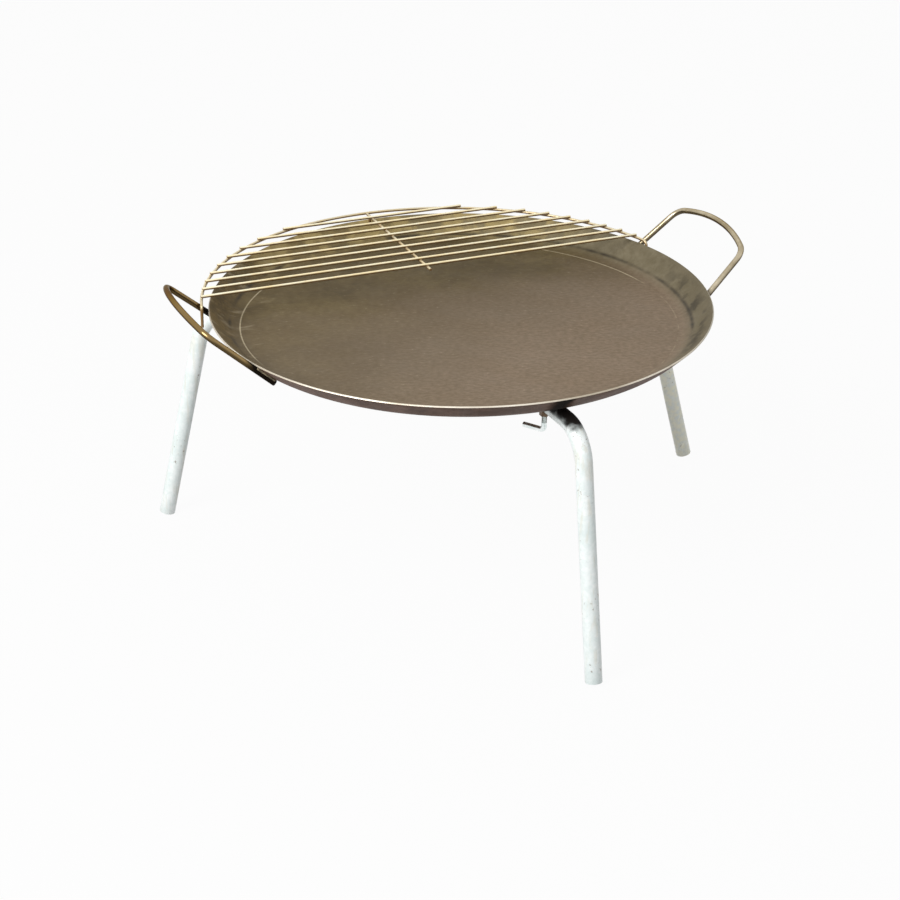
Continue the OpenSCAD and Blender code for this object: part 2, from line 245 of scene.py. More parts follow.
class GriddleSettings(bpy.types.PropertyGroup):
    plate: PointerProperty(type=PlateSettings)
    handle: PointerProperty(type=HandleSettings)
    leg: PointerProperty(type=LegSettings)
    screw: PointerProperty(type=ScrewSettings)
    rack: PointerProperty(type=RackSettings)
    finish: PointerProperty(type=FinishSettings)
    stage: PointerProperty(type=StageSettings)


# Shapes

class RodBender:
    """Draws a round rod, or the bore of a tube, from one ring: straight runs and bends, as on a bending bench."""

    def __init__(self, bm, radius, sides, start, heading, toward):
        self.bm = bm
        self.point = Vector(start)
        self.heading = Vector(heading).normalized()
        self.toward = Vector(toward).normalized()
        across = self.heading.cross(self.toward)
        place = Matrix((self.toward, across, self.heading)).transposed().to_4x4()
        place.translation = self.point
        made = bmesh.ops.create_circle(bm, cap_ends=False, radius=radius, segments=sides, matrix=place)
        self.edges = self.ring(made["verts"])
        self.first = list(self.edges)

    @staticmethod
    def ring(verts):
        """The edges that join these vertices."""
        chosen = set(verts)
        return list({e for v in chosen for e in v.link_edges if e.other_vert(v) in chosen})

    def verts(self):
        return list({v for e in self.edges for v in e.verts})

    def run(self, distance, steps=1, swell=()):
        """Straight run along the heading. swell gives a scale for the ring after each step."""
        for i in range(steps):
            made = bmesh.ops.extrude_edge_only(self.bm, edges=self.edges)["geom"]
            fresh = [g for g in made if isinstance(g, bmesh.types.BMVert)]
            step = self.heading * (distance / steps)
            bmesh.ops.translate(self.bm, verts=fresh, vec=step)
            self.point = self.point + step
            self.edges = self.ring(fresh)
            if swell:
                size = Vector((swell[i], swell[i], swell[i]))
                bmesh.ops.scale(self.bm, verts=fresh, vec=size, space=Matrix.Translation(-self.point))

    def bend(self, radius, turn, toward, steps):
        """Bend of that centre-line radius through the angle turn, towards the given side."""
        toward = Vector(toward).normalized()
        centre = self.point + toward * radius
        axis = self.heading.cross(toward).normalized()
        made = bmesh.ops.spin(
            self.bm, geom=self.verts() + self.edges, cent=centre, axis=axis, angle=turn, steps=steps,
            dvec=(0, 0, 0), use_merge=False, use_duplicate=False)["geom_last"]
        self.edges = self.ring([g for g in made if isinstance(g, bmesh.types.BMVert)])
        spun = Matrix.Rotation(turn, 3, axis)
        self.point = centre + spun @ (self.point - centre)
        self.heading = spun @ self.heading
        return spun @ toward

    def ends(self):
        return self.first, self.edges


def close_rod(bm, bender, chamfer):
    """Caps both ends of a solid rod and breaks their edges."""
    first, last = bender.ends()
    bmesh.ops.edgeloop_fill(bm, edges=first)
    bmesh.ops.edgeloop_fill(bm, edges=last)
    if chamfer:
        break_edges(bm, first + last, chamfer)


def break_edges(bm, edges, offset):
    bmesh.ops.bevel(
        bm, geom=edges, offset=offset, offset_type="OFFSET", segments=2, profile=0.5, affect="EDGES",
        clamp_overlap=True, material=-1)


def weld_bead(bm, start, end, radius, pitch):
    """Rippled bead of weld from start to end: it swells, then dents once in each ripple, and tapers off."""
    run = Vector(end) - Vector(start)
    steps = max(4, round(run.length / pitch)) * 2
    dents = [BEAD_DENT if i % 2 else 1 / BEAD_DENT for i in range(steps - 2)]
    bead = RodBender(bm, radius / BEAD_SWELL, BEAD_SIDES, start, run, run.orthogonal())
    bead.run(run.length, steps, [BEAD_SWELL] + dents + [BEAD_TAPER])
    close_rod(bm, bead, radius / 4)


def make_piece(name, bm, body, materials, stands_for=()):
    """Turns a bmesh into a finished piece that rides on a body."""
    bmesh.ops.remove_doubles(bm, verts=bm.verts, dist=MERGE_DISTANCE)
    bmesh.ops.recalc_face_normals(bm, faces=bm.faces)
    mesh = bpy.data.meshes.new(name)
    bm.to_mesh(mesh)
    bm.free()
    for material in materials:
        mesh.materials.append(material)
    mesh.shade_smooth()
    mesh.set_sharp_from_angle(angle=SHARP_ANGLE)
    piece = bpy.data.objects.new(name, mesh)
    bpy.context.scene.collection.objects.link(piece)
    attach(piece, body)
    if stands_for:
        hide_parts(*stands_for)
    return piece


# Node groups and finishes

VECTOR, FLOAT, COLOUR = "NodeSocketVector", "NodeSocketFloat", "NodeSocketColor"

UP, FRONT, BACK = (0.0, 0.0, 1.0), (0.0, -1.0, 0.0), (0.0, 1.0, 0.0)
RIGHT, LEFT = (1.0, 0.0, 0.0), (-1.0, 0.0, 0.0)
SHEEN_SIDE = (0.42, -0.907, 0.0)
OILED_AND_SHADED_SIDE = (-0.914, 0.406, 0.0)
PALE_SIDE = (0.1, 0.995, 0.0)
STAINED_SIDE = (0.88, -0.47, 0.0)
SCUFFED_SIDE = (-0.94, 0.342, 0.0)
WORN_SIDE = (0.899, 0.438, 0.0)
FAINT_SIDE = (0.848, -0.53, 0.0)
ACROSS_FRONT_LEG = (1.0, 0.0227, 0.0)


def feed(tree, made, inputs):
    """Gives a node's inputs their links or values."""
    for key, value in inputs.items():
        if isinstance(value, bpy.types.NodeSocket):
            tree.links.new(value, made.inputs[key])
        else:
            made.inputs[key].default_value = value


def add_node(tree, kind, inputs, **settings):
    """Adds a node, sets its options and feeds its inputs."""
    made = tree.nodes.new(kind)
    for key, value in settings.items():
        setattr(made, key, value)
    feed(tree, made, inputs)
    return made


def number(tree, operation, first, second=0.0):
    return add_node(tree, "ShaderNodeMath", {0: first, 1: second}, operation=operation).outputs[0]


def product(tree, *values):
    made = values[0]
    for value in values[1:]:
        made = number(tree, "MULTIPLY", made, value)
    return made


def remap(tree, value, low, high, to_low=0.0, to_high=1.0):
    """Eases a value from one range into another."""
    made = add_node(
        tree, "ShaderNodeMapRange",
        {"Value": value, "From Min": low, "From Max": high, "To Min": to_low, "To Max": to_high},
        interpolation_type="SMOOTHSTEP")
    return made.outputs["Result"]


def noise(tree, place, scale, detail=3.0):
    made = add_node(tree, "ShaderNodeTexNoise", {"Vector": place, "Scale": scale, "Detail": detail})
    return made.outputs["Fac"]


def stretched(tree, place, stretch):
    """Coordinates drawn out along the axes with the smaller shares."""
    return add_node(tree, "ShaderNodeVectorMath", {0: place, 1: stretch}, operation="MULTIPLY").outputs[0]


def along(tree, place, direction):
    """Distance of a place along a direction."""
    made = add_node(tree, "ShaderNodeVectorMath", {0: place, 1: direction}, operation="DOT_PRODUCT")
    return made.outputs["Value"]


def facing_up(tree):
    """How far the surface faces upwards, from -1 to 1."""
    return along(tree, tree.nodes.new("ShaderNodeNewGeometry").outputs["Normal"], UP)


def blend_number(tree, share, first, second):
    """Mix of two numbers. A Mix node's sockets go by their order, since their names repeat."""
    return add_node(tree, "ShaderNodeMix", {0: share, 2: first, 3: second}, data_type="FLOAT").outputs[0]


def blend_colour(tree, share, first, second):
    """Mix of two colours."""
    return add_node(tree, "ShaderNodeMix", {0: share, 6: first, 7: second}, data_type="RGBA").outputs[2]


def rgba(tone):
    return (tone[0], tone[1], tone[2], 1.0)


def tint(tree, base, share, tone):
    """Lays a tone over a colour by the given share."""
    return blend_colour(tree, share, base, rgba(tone))


def new_group(name, inputs, outputs):
    """An empty node group with its sockets."""
    group = bpy.data.node_groups.new(name, "ShaderNodeTree")
    for label, kind, default in inputs:
        socket = group.interface.new_socket(label, in_out="INPUT", socket_type=kind)
        if default is not None:
            socket.default_value = default
    for label, kind in outputs:
        group.interface.new_socket(label, in_out="OUTPUT", socket_type=kind)
    return group, group.nodes.new("NodeGroupInput").outputs, group.nodes.new("NodeGroupOutput")


def cloudy_tone_group():
    """Two tones of metal in soft clouds, with a finer mottle inside them."""
    name = "Cloudy tone"
    if name in bpy.data.node_groups:
        return bpy.data.node_groups[name]
    group, given, out = new_group(
        name,
        [("Vector", VECTOR, None), ("Scale", FLOAT, 8.0), ("Mottle", FLOAT, 0.4), ("Contrast", FLOAT, 0.2),
         ("Dark", COLOUR, (0.1, 0.1, 0.1, 1)), ("Light", COLOUR, (0.5, 0.5, 0.5, 1))],
        [("Color", COLOUR), ("Mask", FLOAT)])
    large = add_node(group, "ShaderNodeTexNoise", {
        "Vector": given["Vector"], "Scale": given["Scale"], "Detail": 3.0, "Roughness": 0.5, "Distortion": 0.6})
    fine = add_node(group, "ShaderNodeTexNoise", {
        "Vector": given["Vector"], "Scale": product(group, given["Scale"], 7.0), "Detail": 5.0, "Roughness": 0.65})
    clouds = blend_number(group, given["Mottle"], large.outputs["Fac"], fine.outputs["Fac"])
    low = number(group, "SUBTRACT", 0.5, given["Contrast"])
    high = number(group, "ADD", 0.5, given["Contrast"])
    mask = remap(group, clouds, low, high)
    feed(group, out, {"Color": blend_colour(group, mask, given["Dark"], given["Light"]), "Mask": mask})
    return group


def metal_grain_group():
    """Fine grain of worn metal: a height for bump, a spread for roughness and pale flecks."""
    name = "Metal grain"
    if name in bpy.data.node_groups:
        return bpy.data.node_groups[name]
    group, given, out = new_group(
        name,
        [("Vector", VECTOR, None), ("Scale", FLOAT, 600.0), ("Stretch", VECTOR, (1, 1, 1)),
         ("Roughness", FLOAT, 0.4), ("Spread", FLOAT, 0.1)],
        [("Height", FLOAT), ("Roughness", FLOAT), ("Fleck", FLOAT)])
    drawn = stretched(group, given["Vector"], given["Stretch"])
    grain, wear = [
        add_node(group, "ShaderNodeTexNoise", {
            "Vector": drawn, "Scale": scale, "Detail": 4.0, "Roughness": 0.6}).outputs["Fac"]
        for scale in (given["Scale"], product(group, given["Scale"], 0.06))]
    spread = product(group, number(group, "SUBTRACT", wear, 0.5), product(group, given["Spread"], 4.0))
    feed(group, out, {
        "Height": grain, "Roughness": number(group, "ADD", given["Roughness"], spread),
        "Fleck": remap(group, grain, 0.62, 0.74)})
    return group


def ring_mask_group():
    """A soft ring round an upright axis."""
    name = "Ring mask"
    if name in bpy.data.node_groups:
        return bpy.data.node_groups[name]
    group, given, out = new_group(
        name,
        [("Vector", VECTOR, None), ("Centre", VECTOR, (0, 0, 0)), ("Radius", FLOAT, 0.25),
         ("Half width", FLOAT, 0.01)],
        [("Mask", FLOAT), ("Distance", FLOAT)])
    moved = add_node(
        group, "ShaderNodeVectorMath", {0: given["Vector"], 1: given["Centre"]}, operation="SUBTRACT").outputs[0]
    level = stretched(group, moved, (1, 1, 0))
    far = add_node(group, "ShaderNodeVectorMath", {0: level}, operation="LENGTH").outputs["Value"]
    off = number(group, "ABSOLUTE", number(group, "SUBTRACT", far, given["Radius"]))
    feed(group, out, {"Mask": remap(group, off, given["Half width"], 0.0), "Distance": far})
    return group


def use_group(tree, group, inputs):
    return add_node(tree, "ShaderNodeGroup", inputs, node_tree=group).outputs


def cloudy_skin(tree, place, dark, light, scale, mottle=0.5, contrast=0.2):
    return use_group(tree, cloudy_tone_group(), {
        "Vector": place, "Scale": scale, "Mottle": mottle, "Contrast": contrast,
        "Dark": rgba(dark), "Light": rgba(light)})


def worn_grain(tree, place, scale, roughness, spread, stretch=(1, 1, 1)):
    return use_group(tree, metal_grain_group(), {
        "Vector": place, "Scale": scale, "Stretch": stretch, "Roughness": roughness, "Spread": spread})


def ring_mask(tree, place, radius, half_width, centre=(0, 0, 0)):
    return use_group(tree, ring_mask_group(), {
        "Vector": place, "Centre": centre, "Radius": radius, "Half width": half_width})


def start_finish(name):
    """A new material, its nodes, the piece's own coordinates and the tones to choose from."""
    material = bpy.data.materials.new(name)
    material.use_nodes = True
    tree = material.node_tree
    place = tree.nodes.new("ShaderNodeTexCoord").outputs["Object"]
    return material, tree, place, bpy.context.scene.griddle.finish


def end_finish(tree, surface, height=None, strength=0.0, distance=0.0):
    """Feeds the shader: links for what changes over the surface, values on its own sockets for the rest."""
    shader = tree.nodes["Principled BSDF"]
    feed(tree, shader, surface)
    if height is not None:
        bump = add_node(tree, "ShaderNodeBump", {"Height": height, "Strength": strength, "Distance": distance})
        feed(tree, shader, {"Normal": bump.outputs["Normal"]})


def finish_once(name, build):
    return bpy.data.materials.get(name) or build(name)


def floor_tones(tree, place, tone, drift, oiled_and_shaded_side):
    """Cooking floor: warm clouds, paler towards the front as painted sheen, olive at the back and one side, partly
    oil and partly painted shade.
    """
    clouds = cloudy_skin(tree, place, tone.floor_dark, tone.floor_light, 6.0, 0.4, 0.24)["Mask"]
    oiled = cloudy_skin(tree, place, tone.oil_dark, tone.oil_light, 11.0, 0.35)["Color"]
    # Painted sheen: the floor is paler towards the front
    painted_sheen = remap(tree, along(tree, place, SHEEN_SIDE), -0.13, 0.25)
    pale = number(tree, "ADD", product(tree, painted_sheen, 0.7), product(tree, clouds, 0.3))
    base = blend_colour(tree, pale, rgba(tone.floor_dark), rgba(tone.floor_light))
    # Olive at the back and on one side: partly oil, partly painted shade
    oiled_and_shaded_back = remap(tree, number(tree, "ADD", along(tree, place, BACK), drift), 0.02, 0.15)
    oil_and_shade = number(tree, "MAXIMUM", product(tree, oiled_and_shaded_side, 0.6), oiled_and_shaded_back)
    return blend_colour(tree, oil_and_shade, base, oiled)


def wall_tones(tree, place, tone, oiled_and_shaded_side, stained):
    """Sloping rim: brown on the oiled and shaded side, partly oil and partly painted shade, pale in patches under
    the rack, darker where it is stained.
    """
    wall = cloudy_skin(tree, place, tone.wall_dark, tone.wall_light, 14.0, 0.45)["Color"]
    brown = cloudy_skin(tree, place, tone.oil_dark, tone.wall_brown, 26.0, 0.5, 0.16)["Color"]
    # Brown on the left side of the rim: partly oil, partly painted shade
    base = blend_colour(tree, product(tree, oiled_and_shaded_side, 0.9), wall, brown)
    behind = remap(tree, along(tree, place, PALE_SIDE), 0.15, 0.24)
    patchy = remap(tree, noise(tree, place, 40.0, 5.0), 0.4, 0.58, 0.25, 1.0)
    base = tint(tree, base, product(tree, behind, patchy), tone.wall_pale)
    return tint(tree, base, product(tree, stained, 0.6), tone.wall_dark)


def worn_line(tree, place, tone, base):
    """Pale line worn into the floor, strong at the left and the back right, faint at the front right."""
    line = ring_mask(tree, place, tone.worn_radius, half_width=0.0013, centre=tone.worn_centre)["Mask"]
    left = remap(tree, along(tree, place, SCUFFED_SIDE), 0.222, 0.238)
    right = remap(tree, along(tree, place, WORN_SIDE), 0.226, 0.24)
    faint = remap(tree, along(tree, place, FAINT_SIDE), 0.2, 0.24, 0.0, 0.2)
    broken = remap(tree, noise(tree, place, 40.0), 0.46, 0.56)
    uneven = remap(tree, noise(tree, place, 24.0), 0.3, 0.5, 0.4, 0.9)
    strong = product(tree, number(tree, "MAXIMUM", left, right), uneven)
    shown = number(tree, "MAXIMUM", strong, product(tree, faint, broken))
    return tint(tree, base, product(tree, line, shown), tone.scratch)


def plate_top_finish(name):
    """Oiled steel: cloudy floor, patchy rim, dark line and blotches in the bend, scuffs and a worn pale line."""
    material, tree, place, tone = start_finish(name)
    drift = product(tree, number(tree, "SUBTRACT", noise(tree, place, 7.0), 0.5), 0.2)
    # The oiled and shaded side: olive partly for oil, partly painted shade
    oiled_and_shaded_side = remap(tree, number(tree, "ADD", along(tree, place, OILED_AND_SHADED_SIDE), drift), -0.05, 0.28)
    stained = remap(tree, along(tree, place, STAINED_SIDE), 0.22, 0.27)
    bend = ring_mask(tree, place, tone.bend_line, half_width=0.0035)
    base = blend_colour(
        tree, remap(tree, bend["Distance"], 0.252, 0.272),
        floor_tones(tree, place, tone, drift, oiled_and_shaded_side), wall_tones(tree, place, tone, oiled_and_shaded_side, stained))

    broken = remap(tree, noise(tree, place, 22.0, 4.0), 0.36, 0.62, 0.05, 0.85)
    base = tint(tree, base, product(tree, bend["Mask"], broken), tone.bend)
    blotched = ring_mask(tree, place, tone.blotch_line, half_width=0.016)["Mask"]
    spots = remap(tree, noise(tree, place, 48.0, 5.0), 0.46, 0.6)
    base = tint(tree, base, product(tree, blotched, stained, spots, 0.7), tone.bend)
    scuffed = remap(tree, along(tree, place, SCUFFED_SIDE), 0.2, 0.25)
    scuffs = remap(tree, noise(tree, stretched(tree, place, (0.25, 1, 0.6)), 90.0, 5.0), 0.54, 0.74, 0.0, 0.3)
    base = tint(tree, base, product(tree, scuffed, scuffs), tone.scratch)
    base = worn_line(tree, place, tone, base)

    rolled = add_node(
        tree, "ShaderNodeVectorRotate", {"Vector": place, "Angle": tone.rolling}, rotation_type="Z_AXIS")
    fine = worn_grain(tree, rolled.outputs["Vector"], 260.0, roughness=0.55, spread=0.08, stretch=(0.6, 1, 1))
    level = remap(tree, bend["Distance"], 0.25, 0.27, 1.0, 0.25)
    base = tint(tree, base, product(tree, fine["Fleck"], level, 0.2), tone.scratch)
    pits = remap(tree, fine["Height"], 0.6, 0.36, 0.0, 0.32)
    base = tint(tree, base, product(tree, pits, level), tone.oil_dark)
    end_finish(
        tree,
        {"Base Color": base, "Roughness": fine["Roughness"], "Metallic": 0.12, "Specular IOR Level": 0.25},
        product(tree, fine["Height"], level), strength=0.25, distance=0.0008)
    return material


def plate_under_finish(name):
    """Dull brown underside, with painted shadow where the front leg enters its socket."""
    material, tree, place, tone = start_finish(name)
    skin = cloudy_skin(tree, place, tone.under_dark, tone.under_light, 16.0)["Color"]
    fine = worn_grain(tree, place, 400.0, roughness=0.55, spread=0.1)
    # Painted shadow: near black on the cone just above the front leg, where the tube meets the plate
    aside = number(tree, "ABSOLUTE", number(tree, "ADD", along(tree, place, ACROSS_FRONT_LEG), 0.015))
    ragged = number(tree, "ADD", aside, product(tree, noise(tree, place, 60.0), 0.016))
    ahead = remap(tree, along(tree, place, FRONT), 0.12, 0.2)
    painted_shadow = product(tree, remap(tree, ragged, 0.025, 0.013), ahead)
    roughness = number(tree, "ADD", fine["Roughness"], product(tree, painted_shadow, 0.4))
    end_finish(
        tree,
        {"Base Color": tint(tree, skin, painted_shadow, tone.scorch_and_shadow), "Roughness": roughness, "Metallic": 0.12,
         "Specular IOR Level": 0.15},
        fine["Height"], strength=0.15, distance=0.0006)
    return material


def cut_edge_finish(name):
    """Bright sheared edge of the sheet, worn duller here and there."""
    material, tree, place, tone = start_finish(name)
    skin = cloudy_skin(tree, place, tone.cut_dull, tone.cut_edge, 18.0)["Color"]
    fine = worn_grain(tree, place, 900.0, roughness=0.35, spread=0.1)
    worn = remap(tree, noise(tree, place, 7.0), 0.38, 0.62, 0.05, 0.6)
    base = tint(tree, skin, worn, tone.handle_dark)
    end_finish(tree, {"Base Color": base, "Roughness": fine["Roughness"], "Metallic": 0.3})
    return material


def handle_finish(name):
    """Bare rod with painted shade below, tarnished brown on one handle, and scorched black near the welds with
    painted shade there too.
    """
    material, tree, place, tone = start_finish(name)
    skin = cloudy_skin(tree, place, tone.handle_dark, tone.handle_light, 16.0, 0.35, 0.25)["Color"]
    browner = remap(tree, along(tree, place, LEFT), -0.1, 0.1, 0.0, 0.92)
    base = tint(tree, skin, browner, tone.handle_brown)
    # Painted shade: the downward-facing side of each rod is darkened
    base = tint(tree, base, remap(tree, facing_up(tree), 0.5, -0.1, 0.0, 0.8), tone.handle_sooty)
    # Black near the rim: heat scorch at the welds, with painted shade where the arms pass under the rim
    far = use_group(tree, ring_mask_group(), {"Vector": place})["Distance"]
    ragged = number(tree, "ADD", far, product(tree, noise(tree, place, 120.0), 0.008))
    scorched_and_shaded = remap(tree, number(tree, "SUBTRACT", ragged, product(tree, browner, 0.0075)), 0.3, 0.291)
    fine = worn_grain(tree, place, 900.0, roughness=0.2, spread=0.08)
    end_finish(
        tree,
        {"Base Color": tint(tree, base, scorched_and_shaded, tone.scorch_and_shadow), "Roughness": fine["Roughness"], "Metallic": 0.85,
         "Specular Tint": rgba(tone.handle_dark)},
        fine["Height"], strength=0.1, distance=0.0004)
    return material


def zinc_finish(name):
    """Galvanised tube: spangle, drawn streaks and rust specks, one leg cream from weathering and painted paler as
    light, the front bend painted dark on top as shadow and reflection of the plate.
    """
    material, tree, place, tone = start_finish(name)
    skin = cloudy_skin(tree, place, tone.zinc_dark, tone.zinc_light, 30.0, 0.5, 0.22)["Color"]
    spangle = add_node(tree, "ShaderNodeTexVoronoi", {"Vector": place, "Scale": 210.0, "Randomness": 1.0})
    shade = add_node(tree, "ShaderNodeSeparateColor", {"Color": spangle.outputs["Color"]}).outputs["Red"]
    base = tint(tree, skin, remap(tree, shade, 0.0, 1.0, 0.0, 0.4), tone.zinc_dark)
    streaks = remap(tree, noise(tree, stretched(tree, place, (1, 1, 0.06)), 170.0, 4.0), 0.5, 0.68, 0.0, 0.3)
    base = tint(tree, base, streaks, tone.handle_light)
    # The right leg gets a cream weathering tint, made pale as painted light where the plate shades it
    weathering_and_light = remap(tree, along(tree, place, RIGHT), 0.18, 0.24)
    blotches = remap(tree, noise(tree, place, 170.0, 4.0), 0.36, 0.6, 0.3, 0.9)
    base = tint(tree, base, product(tree, weathering_and_light, blotches), tone.weathered_and_lit)
    patch = remap(tree, noise(tree, place, 18.0), 0.5, 0.62)
    specks = product(tree, patch, remap(tree, noise(tree, place, 260.0, 4.0), 0.62, 0.7), 0.7)
    base = tint(tree, base, specks, tone.rust)

    # Painted shadow and dark reflection: the upward-facing top of the front leg's bend, close under the plate, is
    # laid near black
    rough_edge = product(tree, noise(tree, place, 70.0, 4.0), 0.016)
    high = remap(tree, number(tree, "ADD", along(tree, place, UP), rough_edge), -0.008, 0.001)
    ahead = remap(tree, along(tree, place, FRONT), 0.18, 0.22)
    painted_shadow = product(tree, high, ahead, remap(tree, facing_up(tree), 0.0, 0.35))
    fine = worn_grain(tree, place, 500.0, roughness=0.34, spread=0.12, stretch=(1, 1, 0.12))
    end_finish(
        tree,
        {"Base Color": tint(tree, base, painted_shadow, tone.scorch_and_shadow),
         "Roughness": number(tree, "ADD", fine["Roughness"], product(tree, painted_shadow, 0.5)),
         "Metallic": remap(tree, painted_shadow, 0.0, 1.0, 0.2, 0.0), "Specular IOR Level": 0.2},
        fine["Height"], strength=0.08, distance=0.0004)
    return material


def wire_finish(name, shade_share=0.0):
    """Bright drawn wire with a warm tint, with painted shade in brown below, and all round by the given share."""
    material, tree, place, tone = start_finish(name)
    skin = cloudy_skin(tree, place, tone.wire_dark, tone.wire_light, 24.0, 0.45)["Color"]
    # Painted shade: brown on the downward-facing side of the wire, and all round by the given share
    below = remap(tree, facing_up(tree), 0.72, 0.05, shade_share, 0.92)
    fine = worn_grain(tree, place, 900.0, roughness=0.32, spread=0.1, stretch=(0.1, 1, 1))
    end_finish(
        tree,
        {"Base Color": tint(tree, skin, below, tone.wire_brown), "Roughness": fine["Roughness"],
         "Metallic": 0.35, "Specular IOR Level": 0.25},
        fine["Height"], strength=0.08, distance=0.0003)
    return material


def part_shaded_wire_finish(name):
    """Wire partly darkened all round as painted shade."""
    return wire_finish(name, shade_share=0.35)


def shaded_wire_finish(name):
    """Wire darkened brown all round as painted shade."""
    return wire_finish(name, shade_share=0.75)


def weld_finish(name):
    """Dark scaled weld."""
    material, tree, place, tone = start_finish(name)
    skin = cloudy_skin(tree, place, tone.scorch_and_shadow, tone.handle_dark, 160.0)["Color"]
    fine = worn_grain(tree, place, 1400.0, roughness=0.5, spread=0.15)
    surface = {"Base Color": skin, "Roughness": fine["Roughness"], "Metallic": 0.4}
    end_finish(tree, surface, fine["Height"], strength=0.3, distance=0.0005)
    return material


def plated_finish(name):
    """Bright plated rod with a few dull patches."""
    material, tree, place, tone = start_finish(name)
    skin = cloudy_skin(tree, place, tone.zinc_dark, tone.zinc_light, 70.0, 0.4)["Color"]
    fine = worn_grain(tree, place, 900.0, roughness=0.24, spread=0.08)
    surface = {"Base Color": skin, "Roughness": fine["Roughness"], "Metallic": 0.9}
    end_finish(tree, surface, fine["Height"], strength=0.06, distance=0.0003)
    return material


def socket_finish(name):
    """Dull bare tube."""
    material, tree, place, tone = start_finish(name)
    skin = cloudy_skin(tree, place, tone.socket_dark, tone.socket_light, 40.0)["Color"]
    fine = worn_grain(tree, place, 700.0, roughness=0.45, spread=0.12)
    surface = {"Base Color": skin, "Roughness": fine["Roughness"], "Metallic": 0.5}
    end_finish(tree, surface, fine["Height"], strength=0.15, distance=0.0005)
    return material


# Places that several pieces share

def upright(azimuth):
    """Turns a piece drawn along +X to that direction."""
    return Matrix.Rotation(azimuth, 4, "Z")


def handle_root(settings):
    """Place where the middle between a handle's arms passes the rim."""
    plate, handle = settings.plate, settings.handle
    off = handle.rod / 2 - handle.sink
    rim = plate.radius + off * sin(plate.rim_slope)
    z = plate.depth - plate.thickness * cos(plate.rim_slope) - off * cos(plate.rim_slope)
    return Vector((sqrt(rim * rim - handle.arm_half ** 2), 0, z)), rim


def socket_height(settings):
    return -settings.plate.thickness - settings.leg.socket / 2 + settings.handle.sink


def socket_mouth(settings):
    return settings.plate.radius - settings.leg.socket_step


def rack_places(settings):
    """Where the rack's arc meets the handle's far arm, and the arc's radius and height."""
    handle, rack = settings.handle, settings.rack
    root, rim = handle_root(settings)
    lean = tan(handle.arm_lean)
    along = Vector((cos(handle.slope), -lean, sin(handle.slope)))
    radius = settings.plate.radius + rack.ring_step
    a = along.x ** 2 + lean ** 2
    b = root.x * along.x - handle.arm_half * lean
    u = (-b + sqrt(b * b - a * (rim * rim - radius * radius))) / a
    meet = Vector((root.x, handle.arm_half, root.z)) + along * u
    over = along.cross(Vector((-meet.y, meet.x, 0)))
    touch = (handle.rod + rack.wire) / 2
    return meet, radius, meet.z + (touch + rack.gap) * over.length / over.z


def rack_seat(settings, meet, height):
    """Turns and shifts the loose rack so that it rests on both handles."""
    shift = settings.rack.shift
    roll = -atan(shift * tan(settings.handle.slope) / meet.x)
    return (Matrix.Translation((shift, 0, height)) @ Matrix.Rotation(roll, 4, "Y")
            @ Matrix.Translation((0, 0, -height)))


# Pieces

